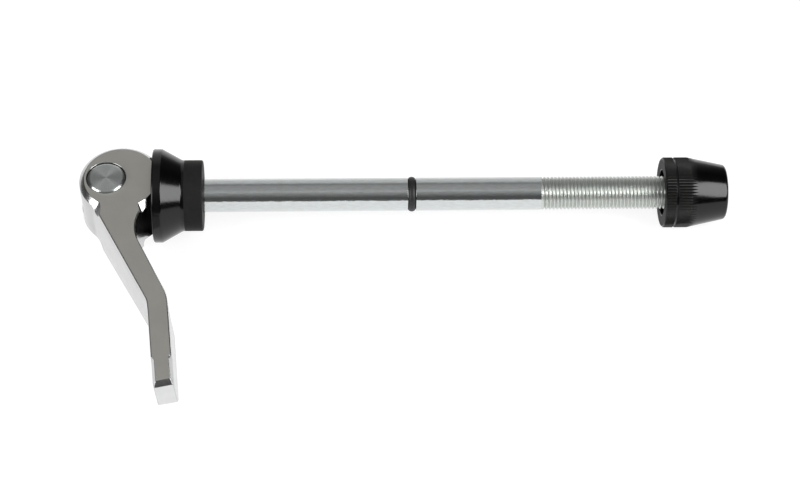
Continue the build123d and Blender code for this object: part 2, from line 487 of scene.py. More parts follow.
@dataclass(frozen=True)
class Finish:
    """A skin whose colour, gloss and relief vary as a real one's do.

    Attributes:
        name: The material's name.
        colour: Its middle colour.
        roughness: Its middle roughness.
        metallic: 1 for bare metal, 0 for a coated or moulded skin.
        spread: How far the roughness goes up and down.
        mottle: How far the colour goes up and down, as a share.
        mottle_size: Size of the colour's clouds.
        mottle_stretch: How tightly the clouds are packed along X, Y and Z.
        drift: How far red, green and blue go with the darker clouds.
        grain_size: Size of the relief's grains.
        grain_depth: Height of the relief's grains.
        stretch: How tightly the grains are packed along X, Y and Z.
        ior: Index of refraction, which sets the gloss of a skin that is not metal.
        anisotropy: How far the gloss is drawn out across the marks of turning.
        cloud_edges: The clouds' values that take the darkest and the lightest colour.
        grain_edges: The grains' values that take the least and the greatest roughness.
        quarter: A quarter turn, from along the marks to across them.
    """

    name: str
    colour: Colour
    roughness: float
    metallic: float = 1.0
    spread: float = 0.06
    mottle: float = 0.05
    mottle_size: float = 4.0
    mottle_stretch: Colour = (1.0, 1.0, 1.0)
    drift: Colour = (1.0, 1.0, 1.0)
    grain_size: float = 0.15
    grain_depth: float = 0.002
    stretch: Colour = (1.0, 1.0, 1.0)
    ior: float = 1.5
    anisotropy: float = 0.0
    cloud_edges: ClassVar[Pair] = (0.3, 0.7)
    grain_edges: ClassVar[Pair] = (0.25, 0.75)
    quarter: ClassVar[float] = 0.25

    def material(self) -> bpy.types.Material:
        """Builds the material: clouds tint the colour, and grains change the gloss and the relief.

        Returns:
            The new material.
        """
        shader = Shader(self.name)
        clouds = shader.noise(self.mottle_stretch, self.mottle_size, detail=3.0)
        grains = shader.noise(self.stretch, self.grain_size, detail=2.0)
        low, high = 1 - self.mottle, 1 + self.mottle
        tint = shader.blended(
            shader.ranged(clouds, self.cloud_edges, (0, 1)),
            tuple(c * low * d for c, d in zip(self.colour, self.drift)),
            tuple(min(c * high, 1.0) for c in self.colour),
        )
        gloss = (self.roughness - self.spread, self.roughness + self.spread)
        shader.feed(
            shader.skin,
            Base_Color=tint,
            Roughness=shader.ranged(grains, self.grain_edges, gloss),
            Metallic=self.metallic,
            IOR=self.ior,
            Anisotropic=self.anisotropy,
            Anisotropic_Rotation=self.quarter,
            Normal=self.raised(shader, grains),
        )
        if self.anisotropy:
            around = shader.add("Tangent", setup={"direction_type": "UV_MAP", "uv_map": "wrap"})
            shader.feed(shader.skin, Tangent=around.outputs["Tangent"])
        return shader.material

    def raised(self, shader: Shader, grains: Socket) -> Socket:
        """The normal with the relief of the grains."""
        return shader.relief(grains, self.grain_depth)


@dataclass(frozen=True)
class SpeckledFinish(Finish):
    """Bright plating: fine pits over the grain, which break up what it mirrors.

    Attributes:
        pit_size: Size of the pits.
        pit_depth: Depth of the pits.
        pit_stretch: How tightly the pits are packed along X, Y and Z.
    """

    pit_size: float = 0.8
    pit_depth: float = 0.03
    pit_stretch: Colour = (0.35, 1.0, 1.0)

    def raised(self, shader: Shader, grains: Socket) -> Socket:
        """The normal with the relief of the grains and wider pits on top."""
        pits = shader.noise(self.pit_stretch, self.pit_size, detail=4.0)
        return shader.relief(pits, self.pit_depth, super().raised(shader, grains))


@dataclass(frozen=True)
class RingedFinish(Finish):
    """A faced metal end: fine rings about the pivot pin's axis.

    Attributes:
        ring_size: Width of the widest rings.
        ring_depth: Depth of the rings.
        axes: The pin's frame.
    """

    ring_size: float = 0.16
    ring_depth: float = 0.003
    axes: Axes = ROD_AXES

    def raised(self, shader: Shader, grains: Socket) -> Socket:
        """The normal with rings by the distance from the pin's axis, on the grains' relief.

        Args:
            shader: The material's nodes.
            grains: The grain pattern.

        Returns:
            The bumped normal.
        """
        lean = math.atan2(-self.axes.up[1], self.axes.up[2])
        centred = shader.add(
            "Mapping",
            setup={"vector_type": "TEXTURE"},
            Vector=shader.add("TexCoord").outputs["Object"],
            Location=tuple(self.axes.origin * MM),
            Rotation=(lean, 0, 0),
        ).outputs["Vector"]
        flat = shader.add("VectorMath", centred, (1, 1, 0), setup={"operation": "MULTIPLY"})
        away = shader.add("VectorMath", flat.outputs["Vector"], setup={"operation": "LENGTH"})
        rings = shader.add(
            "TexNoise",
            setup={"noise_dimensions": "1D"},
            W=away.outputs["Value"],
            Scale=1 / (self.ring_size * MM),
            Detail=3.0,
        ).outputs["Fac"]
        return shader.relief(rings, self.ring_depth, super().raised(shader, grains))


PLATED = SpeckledFinish(
    "bright_zinc_plate", (0.602, 0.638, 0.645), roughness=0.1, spread=0.04, mottle_size=0.5,
    mottle_stretch=(0.25, 1.0, 1.0), drift=(1.03, 0.99, 0.97), grain_size=0.12, grain_depth=0.0016,
)
PLATED_THREAD = replace(
    PLATED, name="bright_zinc_thread", colour=(0.6, 0.63, 0.612), roughness=0.38, spread=0.06
)
TURNED = RingedFinish(
    "turned_steel", (0.585, 0.615, 0.602), roughness=0.3, spread=0.05, mottle=0.04,
    mottle_size=2.0, anisotropy=0.8,
)
RUBBER = Finish(
    "black_rubber", (0.008, 0.008, 0.009), roughness=0.5, metallic=0.0, mottle=0.25,
    mottle_size=0.8, grain_size=0.12, grain_depth=0.006,
)
BLACK_TURNED = Finish(
    "black_anodised", (0.001, 0.001, 0.0011), roughness=0.15, metallic=0.0, spread=0.05,
    mottle=0.2, mottle_size=2.5, grain_size=0.1, grain_depth=0.0012, stretch=(1.0, 0.06, 0.06),
    ior=1.42,
)
BLACK_END = Finish(
    "black_anodised_end", (0.017, 0.0165, 0.0165), roughness=0.5, metallic=0.0, mottle=0.08,
    mottle_size=1.5, grain_size=0.1, ior=1.15,
)
BLACK_GRIP = Finish(
    "black_anodised_teeth", (0.011, 0.0103, 0.0098), roughness=0.2, metallic=0.0, mottle=0.25,
    mottle_size=0.8, grain_size=0.1, ior=1.6,
)
SATIN_FACE = Finish(
    "satin_aluminium_face", (0.71, 0.694, 0.643), roughness=0.36, mottle=0.03, mottle_size=6.0,
    grain_size=0.14, grain_depth=0.0022,
)
BRIGHT_EDGE = Finish(
    "bright_aluminium_edge", (0.545, 0.547, 0.55), roughness=0.2, spread=0.05, mottle=0.03,
    mottle_size=3.0, grain_size=0.12, grain_depth=0.0012,
)
# Painted light: a lighter copy of the flanks' finish for the tip's end face. It stands for the lit
# floor that the face mirrors, while the flanks mirror the object's own shadow.
LIT_END = replace(BRIGHT_EDGE, name="aluminium_end_painted_light", colour=(0.66, 0.662, 0.665))
# Painted shade: a dark copy of aluminium for the lever's fork slot, bore and chamfer run-out ends. It
# stands for the shade in those hollows and the dark they mirror.
SHADED_MILLED = Finish(
    "milled_aluminium_painted_shade", (0.17, 0.17, 0.175), roughness=0.42, mottle=0.1, mottle_size=1.0,
    grain_size=0.2, grain_depth=0.004,
)
NYLON = Finish(
    "black_nylon", (0.012, 0.012, 0.012), roughness=0.45, metallic=0.0, grain_size=0.3,
    grain_depth=0.004,
)


@dataclass
class Piece:
    """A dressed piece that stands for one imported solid."""

    layout: Layout
    node: ClassVar[str]
    body: ClassVar[Body]
    slot: ClassVar[Slot]
    coats: ClassVar[list[Finish]]

    def surface(self) -> Surface:
        """The piece's own surface."""
        raise NotImplementedError

    def finishes(self) -> list[Finish]:
        """The piece's finishes, in the order of its faces' skins."""
        return self.coats

    def build(self) -> bpy.types.Object:
        """Makes the piece, dresses it and sets it on its body.

        Returns:
            The new object.
        """
        name = f"{self.node}_fine"
        mesh = self.surface().mesh(name)
        for finish in self.finishes():
            mesh.materials.append(finish.material())
        piece = put(name, mesh)
        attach(piece, self.body.value)
        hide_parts(self.node)
        return piece


@dataclass
class Rod(Piece):
    """Plated rod: spigot, shank with a ring groove, and the frosted screw thread."""

    node: ClassVar[str] = "rod"
    body: ClassVar[Body] = Body.ROD
    slot: ClassVar[Slot] = Slot.ROD
    coats: ClassVar[list[Finish]] = [PLATED, PLATED_THREAD]
    spigot_radius: float = 3.0
    shank_start: float = -9.7
    edge: float = 0.7
    edge_round: float = 0.2
    shoulder_round: float = 0.1
    lip_round: float = 0.05
    round_steps: int = 4
    groove_middle: float = 56.1
    groove_width: float = 2.2
    groove_depth: float = 1.45
    thread_start: float = 90.95
    thread_land: float = 0.08
    thread_radius: float = 4.45
    thread_depth: float = 0.48
    crest_width: float = 0.6
    pitch: float = 1.0
    run_in: float = 0.6
    steps_a_pitch: int = 12
    columns: int = 72

    def thread(self) -> Array:
        """Rows of points along the thread.

        The phase of a point is x/pitch - angle/turn, so that crests climb as a right-hand screw.
        The radius falls from crest to root and back as a clipped cosine of the phase, deepens over
        the run-in, and is cut by the chamfer at the rod's end.

        Returns:
            The grid of points.
        """
        end, angles = self.layout.rod_end, full_turn(self.columns)
        steps = round((end - self.thread_start) / self.pitch * self.steps_a_pitch)
        x = np.linspace(self.thread_start, end, steps + 1)[:, None]
        phase = (x / self.pitch - angles / TURN) % 1.0
        crest = np.clip(self.crest_width * (1 + np.cos(TURN * phase)), 0.0, 1.0)
        grown = smooth_step((x - self.thread_start) / self.run_in)
        shank = self.layout.rod_radius + (self.thread_radius - self.layout.rod_radius) * grown
        radius = shank - self.thread_depth * grown * (1 - crest)
        radius = np.minimum(radius, self.thread_radius - self.edge + (end - x))
        return ROD_AXES.turned(x, radius, angles)

    def surface(self) -> Surface:
        """The shank's profile turned round the rod, then the thread, then the flat end.

        Returns:
            The closed surface.
        """
        radius, start = self.layout.rod_radius, self.layout.rod_start
        corners = np.array([
            (start, 0),
            (start, self.spigot_radius),
            (self.shank_start, self.spigot_radius),
            (self.shank_start, radius - self.edge),
            (self.shank_start + self.edge, radius),
            *groove(self.groove_middle, self.groove_width, self.groove_depth, radius),
            (self.thread_start - self.thread_land, radius),
            (self.thread_start, radius),
        ])
        soft, lip = self.edge_round, self.lip_round
        radii = [soft, soft, self.shoulder_round, soft, lip, soft, soft, lip, 0]
        shank = ROD_AXES.lathed(rounded(corners, radii, self.round_steps), self.columns)
        end = ROD_AXES.lathed(np.array([(self.layout.rod_end, 0)]), self.columns)
        grid = np.concatenate([shank, self.thread()[1:], end])
        threaded = np.arange(1, len(grid)) >= len(shank)
        return Surface().add(grid, np.where(threaded, Skin.EDGE, Skin.FACE)[:, None])


@dataclass
class RubberRing(Piece):
    """Round rubber ring in the rod's groove."""

    node: ClassVar[str] = "rubber_ring"
    body: ClassVar[Body] = Body.ROD
    slot: ClassVar[Slot] = Slot.RING
    coats: ClassVar[list[Finish]] = [RUBBER]
    middle: float = 56.1
    half_width: float = 1.05
    half_height: float = 0.84
    proud: float = 0.22
    section_steps: int = 32
    columns: int = 96

    def surface(self) -> Surface:
        """A slightly flattened circle carried round the rod's axis.

        Returns:
            The closed surface.
        """
        angles = full_turn(self.section_steps)
        along = self.middle + self.half_width * np.cos(angles)
        middle_radius = self.layout.rod_radius + self.proud - self.half_height
        profile = np.stack([along, middle_radius + self.half_height * np.sin(angles)], axis=1)
        return Surface().add(ROD_AXES.lathed(profile, self.columns))


@dataclass
class PivotPin(Piece):
    """Barrel pin through the lever's head, with faced and chamfered ends."""

    node: ClassVar[str] = "pivot_pin"
    body: ClassVar[Body] = Body.ROD
    slot: ClassVar[Slot] = Slot.PIN
    radius: float = 5.2
    half_length: float = 8.2
    edge: float = 0.65
    ease: float = 1.05
    ease_steps: int = 6
    face_rows: int = 9
    columns: int = 128

    def finishes(self) -> list[Finish]:
        """Turned steel with rings about the pin."""
        return [replace(TURNED, axes=self.layout.lever_axes())]

    def surface(self) -> Surface:
        """The barrel's profile turned round the pin, with rows across each end face.

        Returns:
            The closed surface.
        """
        face = np.linspace(0, self.radius - self.edge - self.ease, self.face_rows)
        half, edge = self.half_length, self.edge
        low = np.array([(half, face[-1]), (half, self.radius - edge), (half - edge, self.radius)])
        corners = np.concatenate([low * (-1, 1), low[::-1]])
        rim = rounded(corners, [self.ease] * 4, self.ease_steps)
        end = np.stack([np.full_like(face, half), face], axis=1)
        profile = np.concatenate([end * (-1, 1), rim[1:-1], end[::-1]])
        axes = self.layout.lever_axes()
        pin = Axes(axes.origin, axes.up, axes.along, axes.side)
        return Surface().add(pin.lathed(profile, self.columns))


@dataclass
class Cup(Piece):
    """Black turned cup with a dished end and a hollow seat for the lever's cam.

    It is glossy on the rim and the cone, and dull on the collar and the ends.
    """

    node: ClassVar[str] = "cup"
    body: ClassVar[Body] = Body.CUP
    slot: ClassVar[Slot] = Slot.BLACK
    coats: ClassVar[list[Finish]] = [BLACK_TURNED, BLACK_END]
    bore_radius: float = 4.58
    bore_round: float = 0.3
    collar_radius: float = 9.55
    collar_length: float = 5.5
    rim_land: float = 2.4
    rim_wall: float = 1.2
    blends: Pair = (2.2, 1.0)
    edge: float = 0.5
    dish_round: float = 0.25
    round_steps: int = 8
    seat_x: float = -10.35
    seat_radius: float = 30.0
    seat_rows: int = 14
    columns: int = 160

    def seat(self, across: Array) -> Array:
        """The seat's depth: a cylinder along the pin, centre_x + sqrt(R^2 - across^2)."""
        return self.seat_x - self.seat_radius + np.sqrt(self.seat_radius**2 - across**2)

    def surface(self) -> Surface:
        """The outer profile and the bore turned round the rod, with the seat's floor between them.

        Each floor row has one radius, and its place along the rod follows the seat's cylinder.

        Returns:
            The closed surface.
        """
        rim, land = self.layout.rim_x, self.layout.rim_radius
        dish = land - self.rim_wall
        corners = np.array([
            (-self.collar_length, self.bore_radius),
            (0, self.bore_radius),
            (0, self.collar_radius),
            (-self.collar_length, self.collar_radius),
            (rim + self.rim_land, land),
            (rim, land),
            (rim, dish),
            (rim + self.edge, dish),
        ])
        radii = [self.bore_round, self.edge, *self.blends, self.edge, self.dish_round]
        outside = rounded(corners, radii, self.round_steps)
        axes = replace(self.layout.lever_axes(), origin=np.zeros(3))
        shell = axes.lathed(outside, self.columns)
        radius, angles = np.linspace(dish, self.bore_radius, self.seat_rows), full_turn(self.columns)
        floor = axes.turned(self.seat(radius[:, None] * np.cos(angles)), radius[:, None], angles)
        collar = (outside[1:, 0] > -self.collar_length) & (outside[1:, 1] <= self.collar_radius)
        turned = np.where(collar, Skin.EDGE, end_skins(outside))
        skins = np.concatenate([turned, np.full(len(floor) + 1, Skin.EDGE)])
        return Surface().add(np.concatenate([shell, floor, shell[:1]]), skins[:, None])


@dataclass
class Nut(Piece):
    """Black cone-ended nut with a toothed grip in two bands, glossy on the cone alone."""

    node: ClassVar[str] = "nut"
    body: ClassVar[Body] = Body.NUT
    slot: ClassVar[Slot] = Slot.BLACK
    coats: ClassVar[list[Finish]] = [BLACK_TURNED, BLACK_END, BLACK_GRIP]
    face_edge: float = 0.4
    face_round: float = 0.12
    groove_middle: float = 3.1
    groove_width: float = 0.6
    groove_depth: float = 0.55
    groove_round: float = 0.08
    lip_round: float = 0.06
    grip_length: float = 6.7
    run_out: float = 2.2
    run_out_rows: int = 12
    end_radius: float = 7.3
    end_round: float = 0.9
    mouth_round: float = 0.3
    teeth: int = 72
    tooth_depth: float = 0.42
    crest_land: float = 0.05
    bore_radius: float = 4.5
    recess_radius: float = 6.1
    recess_depth: float = 4.0
    recess_rounds: Pair = (0.15, 0.25)
    pocket_radius: float = 5.95
    pocket_low: float = 12.8
    pocket_high: float = 15.9
    pocket_round: float = 0.1
    round_steps: int = 5

    def profile(self) -> Array:
        """The nut's closed profile, from the recess over the grip and the cone to the pocket.

        Returns:
            Rows of distance from the clamp face and radius.
        """
        radius, length = self.layout.nut_radius, self.layout.nut_end - self.layout.clamp_x
        run_out = self.grip_length + np.linspace(0, self.run_out, self.run_out_rows)
        slope = (radius - self.end_radius) / (length - self.grip_length)
        corners = np.array([
            (self.recess_depth, self.bore_radius),
            (self.recess_depth, self.recess_radius),
            (0, self.recess_radius),
            (0, radius - self.face_edge),
            (self.face_edge, radius),
            *groove(self.groove_middle, self.groove_width, self.groove_depth, radius),
            *np.stack([run_out, radius - slope * (run_out - self.grip_length)], axis=1),
            (length, self.end_radius),
            (length, self.bore_radius),
            (self.pocket_high, self.bore_radius),
            (self.pocket_high, self.pocket_radius),
            (self.pocket_low, self.pocket_radius),
            (self.pocket_low, self.bore_radius),
            (self.recess_depth, self.bore_radius),
        ])
        face, lip, root = self.face_round, self.lip_round, self.groove_round
        radii = [*self.recess_rounds, face, face, lip, root, root, lip]
        radii += [0] * self.run_out_rows
        radii += [self.end_round, self.mouth_round, 0, self.pocket_round, self.pocket_round, 0]
        return rounded(corners, radii, self.round_steps)

    def surface(self) -> Surface:
        """The nut's profile turned round the rod and cut by the teeth.

        A tooth's flank falls in a straight line from the grip's radius to the root, so the cut's
        radius is root + depth*w, where w runs from 0 in a valley to 1 on a crest. Each point takes
        the smaller of the profile's radius and the cut's. A row's columns stand in its valley, on
        its crest and where the cut leaves the profile, at w = (radius - root)/depth, so the teeth
        run out to points on the cone.

        Returns:
            The closed surface.
        """
        profile, grip_radius = self.profile(), self.layout.nut_radius
        along, radius = profile.T[..., None]
        leave = (radius - grip_radius) / self.tooth_depth + 1
        leave = np.clip(leave, self.crest_land, 1 - self.crest_land)
        one = np.ones_like(leave)
        half = np.concatenate([0 * one, leave / 2, leave, (1 + leave) / 2, one], axis=1)
        wave = np.concatenate([half, 2 - half[:, -2:0:-1]], axis=1)
        tooth = np.arange(self.teeth)[:, None]
        turn = (tooth + wave[:, None] / 2).reshape(len(profile), -1)
        angles = np.concatenate([turn, turn[:, :1] + self.teeth], axis=1) * TURN / self.teeth
        rise = np.tile(1 - np.abs(1 - wave), self.teeth)
        rise = np.concatenate([rise, rise[:, :1]], axis=1)
        cut = np.minimum(radius, grip_radius - self.tooth_depth * (1 - rise))
        below = cut < radius - TINY
        toothed = below[:-1, :-1] | below[1:, 1:] | below[1:, :-1] | below[:-1, 1:]
        skins = np.where(toothed, Skin.CUT, end_skins(profile)[:, None])
        return Surface().add(ROD_AXES.turned(self.layout.clamp_x + along, cut, angles), skins)


@dataclass
class Lever(Piece):
    """Forked cam lever: round head on the pin, leaning neck, bend and tapering blade.

    Its outline lies in the plane of the rod and the tip, as (x, l) with l growing to the tip, and
    p is the distance along the pin. A pair of sizes is for the outer side and the cup's side. It
    is satin on its two broad faces and brighter on the flanks. Its slot, its bore and the run-out
    ends of the head's chamfer are darkened as painted shade, and the tip's end face is lightened
    as painted light.
    """

    node: ClassVar[str] = "lever"
    body: ClassVar[Body] = Body.LEVER
    slot: ClassVar[Slot] = Slot.LEVER
    # The fourth finish, for the tip's end face, is lightened as painted light.
    # The third finish, for the slot, the bore and the chamfer's run-out, is darkened as painted shade.
    coats: ClassVar[list[Finish]] = [SATIN_FACE, BRIGHT_EDGE, SHADED_MILLED, LIT_END]
    head_radius: float = 11.1
    cam_offset: float = 3.9
    head_edge: float = 1.3
    head_edge_stops: Pair = (35.8, 30.8)
    head_edge_run: float = 3.9
    run_rows: int = 9
    run_gap: float = 0.3
    fork_half: float = 8.0
    slot_half: float = 3.3
    slot_rows: int = 6
    bore_radius: float = 5.25
    bore_edge: float = 0.12
    bore_edge_rows: int = 4
    bend_reach: float = 38.6
    bend_offset: float = 14.65
    reach: float = 63.67
    neck_lean: float = 6.915
    neck_halves: Pair = (2.4, 3.0)
    neck_taper: float = 1.4
    blade_angle: float = 5.0
    blade_lean: float = 4.6
    blade_thickness: float = 5.3
    neck_rounds: Pair = (4.0, 11.0)
    bend_rounds: Pair = (5.0, 10.0)
    arc_steps: tuple[int, int, int, int] = (24, 5, 12, 36)
    bend_steps: int = 16
    taper_start: float = 12.5
    row_gap: float = 0.05
    round_rows: tuple[float, int] = (24, 28)
    neck_rows: Rows = (25, 34.5, 6)
    bend_rows: Rows = (35, 46, 45)
    blade_rows: Rows = (47, 0.6, 7)
    tip_rows: Rows = (0.4, 2.0, 3)
    tip_half: float = 5.3
    tip_angle: float = 9.0
    tip_edge: float = 1.3
    tip_ease: float = 0.28
    tip_ease_steps: int = 4
    tip_lead: float = 1.5
    tip_face_gap: float = 0.1
    tip_side_edge: float = 0.8
    tip_side_steep: float = 1.7
    tip_side_length: float = 8.6
    tip_side_run: float = 1.4
    tip_side_rows: int = 12
    slant_start: float = 6.0
    slant_run: float = 10.0
    fine_edge: float = 0.24
    ease: float = 0.2
    corner_round: float = 0.35
    past_tip: float = 2.0
    face_gap: float = 0.24
    face_lip: float = 0.05
    face_rows: tuple[int, int] = (2, 4)
    face_columns: int = 12

    def half_outline(self, side: int, low: bool = False) -> Array:
        """One side of the outline from the head's crown to a little past the tip.

        It is an arc of the head, a round that touches the head and the neck's flank, the flank, a
        round at the bend, and the blade's flank. The round's centre lies at one radius from the
        flank and at the sum of the radii from the head's centre. The blade's flanks lean, so in
        the lower face's plane the bend lies width*tan(lean)*cos(blade)/sin(neck - blade) further
        along the neck.

        Args:
            side: 1 for the side of the cup, -1 for the outer side.
            low: Whether it is the outline in the plane of the lower face.

        Returns:
            Points (x, l) in the order of growing l.
        """
        which = (side + 1) // 2
        head = np.array([self.cam_offset, 0.0])
        bend = np.array([self.bend_offset, self.bend_reach])
        to_bend = bend - head
        neck_angle = math.atan2(*to_bend) + math.asin(self.neck_lean / np.linalg.norm(to_bend))
        neck_angle += math.radians(self.neck_taper) * (1 - which)
        blade_angle = math.radians(self.blade_angle)
        neck, blade = (unit_circle(angle)[::-1] for angle in (neck_angle, blade_angle))
        if low:
            bend = bend + neck * self.drift() * blade[1] / math.sin(neck_angle - blade_angle)
        out, blade_out = (-side * left_of(way) for way in (neck, blade))
        flank = bend + out * self.neck_halves[which]
        blade_flank = bend + blade_out * self.blade_thickness / 2
        knee = flank + neck * ((blade_flank - flank) @ blade_out) / (neck @ blade_out)
        tip = blade_flank + blade * (self.reach + self.past_tip - blade_flank[1]) / blade[1]
        radius = self.neck_rounds[which]
        start = flank + out * radius - head
        ahead = start @ neck
        far = (self.head_radius + radius) ** 2
        centre = head + start + neck * (math.sqrt(ahead**2 - start @ start + far) - ahead)
        on_head = head + unit(centre - head) * self.head_radius
        on_neck = centre - out * radius
        slot_reach = math.sqrt(self.head_radius**2 - self.slot_half**2)
        stations = [
            head - (0, self.head_radius),
            head + (side * self.head_radius, 0),
            head + (side * slot_reach, self.slot_half),
            on_head,
            on_neck,
        ]
        centres = (head, head, head, centre)
        arcs = map(arc_about, centres, stations, stations[1:], self.arc_steps)
        corners = np.stack([on_neck, knee, tip])
        return np.concatenate([*arcs, rounded(corners, [self.bend_rounds[which]], self.bend_steps)])

    def drift(self) -> float:
        """How far the leaning blade's lower outline lies towards the cup side."""
        return 2 * self.fork_half * math.tan(math.radians(self.blade_lean))

    def edge_section(self, edge: Array, depth: Array) -> Array:
        """The section of a chamfered edge with eased corners.

        The chamfer runs from (edge, 0) to (0, depth), as (inset from the flank, drop from the
        face). Each of its two corners turns by about 45 degrees, so an arc of radius r touches
        t = r*tan(22.5) from the corner, and its middle lies r*(1/cos(22.5) - 1) inside it.

        Args:
            edge: The chamfer's size on the face at each place.
            depth: Its size on the flank.

        Returns:
            Six points for each place, on a new axis before the last.
        """
        t, cut = self.ease * math.tan(HALF_CORNER), self.ease * (1 / math.cos(HALF_CORNER) - 1)
        zero = np.zeros_like(edge)
        s, fall = t * edge / np.hypot(edge, depth), t * depth / np.hypot(edge, depth)
        near, far = math.cos(HALF_CORNER) * cut, math.sin(HALF_CORNER) * cut
        inset = [edge + t, edge + far, edge - s, s, zero + near, zero]
        drop = [zero, zero + near, fall, depth - fall, depth + far, depth + t]
        return np.stack([np.stack(inset, axis=-1), np.stack(drop, axis=-1)], axis=-1)

    def half_width(self, reach: float | Array) -> float | Array:
        """Half the lever's width along the pin: parallel at the head, then a straight taper."""
        fall = (self.fork_half - self.tip_half) / (self.reach - self.taper_start)
        return self.fork_half - fall * np.maximum(reach - self.taper_start, 0)

    def surface(self) -> Surface:
        """The head and the arm, which meet at the start of the taper.

        Returns:
            The closed surface.
        """
        sides = {side: self.half_outline(side) for side in (1, -1)}
        skin = Surface()
        self.add_head(skin, sides)
        self.add_arm(skin, sides)
        return skin

    def head_half(self, side: int, line: Array) -> tuple[Array, Array, Array, Array]:
        """One side of the head's outline, from the crown to the start of the taper.

        The head's chamfer is a cone about the head, so its size at a point is the point's distance
        from the head's centre less that of the chamfer's inner edge. Past its stop, an angle from
        the tip's direction, it runs out round as the cutter left it: with t from 0 to 1 over the
        run, its size is fine + (full - fine)*sqrt(1 - t^2).

        Args:
            side: 1 for the side of the cup, -1 for the outer side.
            line: That side of the lever's outline.

        Returns:
            The points, their inward directions, the size of the edge at each, and which of them
            lie on the run-out.
        """
        head = np.array([self.cam_offset, 0])
        away = line - head
        angle = np.degrees(np.arctan2(side * away[:, 0], away[:, 1]))
        angle[0] = 180
        stop = self.head_edge_stops[(side + 1) // 2]
        run = np.linspace(0, 1, self.run_rows)
        ends = stop - self.head_edge_run * run
        stops = np.stack([np.interp(ends, angle[::-1], row[::-1]) for row in line.T], axis=1)
        end = (np.interp(self.taper_start, line[:, 1], line[:, 0]), self.taper_start)
        before = line[angle > stop + self.run_gap]
        clear = line[:, 1] < self.taper_start - self.row_gap
        after = line[(angle < ends[-1] - self.run_gap) & clear]
        points = np.concatenate([before, stops, after, [end]])
        first, last = len(before), len(before) + len(run)
        radial = head - points
        full = np.linalg.norm(radial, axis=1) - self.head_radius + self.head_edge
        full = np.minimum(full, full[first])
        share = np.concatenate([np.zeros(first), run, np.ones(len(points) - last)])
        edge = self.fine_edge + (full - self.fine_edge) * np.sqrt(1 - share**2)
        across = side * left_of(unit(np.gradient(points, axis=0)))
        inward = np.where(share[:, None] < 1, unit(radial), across)
        inward[-1] = (-side, 0)
        number = np.arange(len(points))
        return points, inward, edge, (number >= first) & (number < last)

    def add_head(self, skin: Surface, sides: dict[int, Array]) -> None:
        """Adds the head: its wall, two faces, bore and fork slot.

        The loop runs from the taper's start on the cup side, over the crown, to the other side.
        The faces are grids from that loop straight in to a circle about the head's centre, and
        from there to the bore.

        Args:
            skin: The surface to add to.
            sides: Both sides of the lever's outline.
        """
        axes = self.layout.lever_axes()
        halves = (self.head_half(side, line) for side, line in sides.items())
        loop, inward, edge, run_out = (np.concatenate([a[::-1], b[1:]]) for a, b in zip(*halves))
        section = self.edge_section(edge, edge)
        inset = loop[:, None] + inward[:, None] * section[..., :1]
        rise = self.fork_half - section[..., 1]
        near, far = (axes.place(inset[..., 0], inset[..., 1], up * rise) for up in (1, -1))
        slot = axes.place(*loop.T[..., None], np.array([1, -1]) * self.slot_half)
        wall = np.concatenate([near, slot, far[:, ::-1]], axis=1)
        in_slot = loop[:, 1] <= self.slot_half + TINY
        middle = section.shape[1]
        keep = np.ones((len(loop) - 1, wall.shape[1] - 1), bool)
        keep[in_slot[:-1] & in_slot[1:], middle] = False
        skins = np.full(keep.shape, Skin.EDGE)
        edge_faces = np.abs(np.arange(keep.shape[1]) - middle) > 1
        # Painted shade: the run-out ends of the head's chamfer take the darkened aluminium.
        skins[np.ix_(run_out[:-1] & run_out[1:], edge_faces)] = Skin.CUT
        skin.add(wall, skins, keep)
        self.add_faces(skin, axes, inset[:, 0], np.flatnonzero(in_slot), loop)

    def add_faces(
        self, skin: Surface, axes: Axes, edge: Array, slot_index: Array, loop: Array
    ) -> None:
        """Adds the head's two faces, the eased lips of the bore, and the bore.

        Args:
            skin: The surface to add to.
            axes: The lever's frame.
            edge: The faces' outline, which is closed across the start of the taper.
            slot_index: The loop's points beside the slot.
            loop: The head's outline.
        """
        outer = np.concatenate([edge, between(edge[-1], edge[0], self.face_columns)[1:]])
        head = np.array([self.cam_offset, 0])
        circle = head + unit(outer - head) * (self.head_radius - self.head_edge - self.face_gap)
        angles = self.bore_angles(circle, slot_index[[0, -1]])
        rim = outer + unit(circle - outer) * self.face_lip
        ring = self.bore_radius + self.bore_edge
        inner = ring * unit_circle(angles)
        rim_rows, bore_rows = self.face_rows
        face = np.concatenate([
            outer[None], between(rim, circle, rim_rows), between(circle, inner, bore_rows)[1:]
        ])
        steps = np.linspace(0, math.pi / 2, self.bore_edge_rows)[:, None]
        radius = ring - self.bore_edge * np.sin(steps)
        level = self.fork_half - self.bore_edge * (1 - np.cos(steps))
        for up in (1, -1):
            skin.add(axes.place(face[..., 0], face[..., 1], up * self.fork_half), Skin.FACE)
            lip = axes.place(radius * np.cos(angles), radius * np.sin(angles), up * level)
            skin.add(lip, Skin.EDGE)
        self.add_bore(skin, axes, angles, slot_index, loop)

    def bore_angles(self, circle: Array, slot_ends: Array) -> Array:
        """Angles on the bore for the points of the circle about the head's centre.

        They are the points' own directions from the bore's centre, stretched so that the slot's
        two ends fall on the slot's floor.

        Args:
            circle: The circle's points, one full turn.
            slot_ends: The first and the last of them that lie beside the slot.

        Returns:
            Falling angles, one full turn in all.
        """
        own = np.unwrap(np.arctan2(circle[:, 1], circle[:, 0]))
        floor = math.asin(self.slot_half / self.bore_radius)
        stops = [own[-1], *own[slot_ends[::-1]], own[0]]
        return np.interp(own, stops, [own[-1], -math.pi - floor, floor, own[0]])

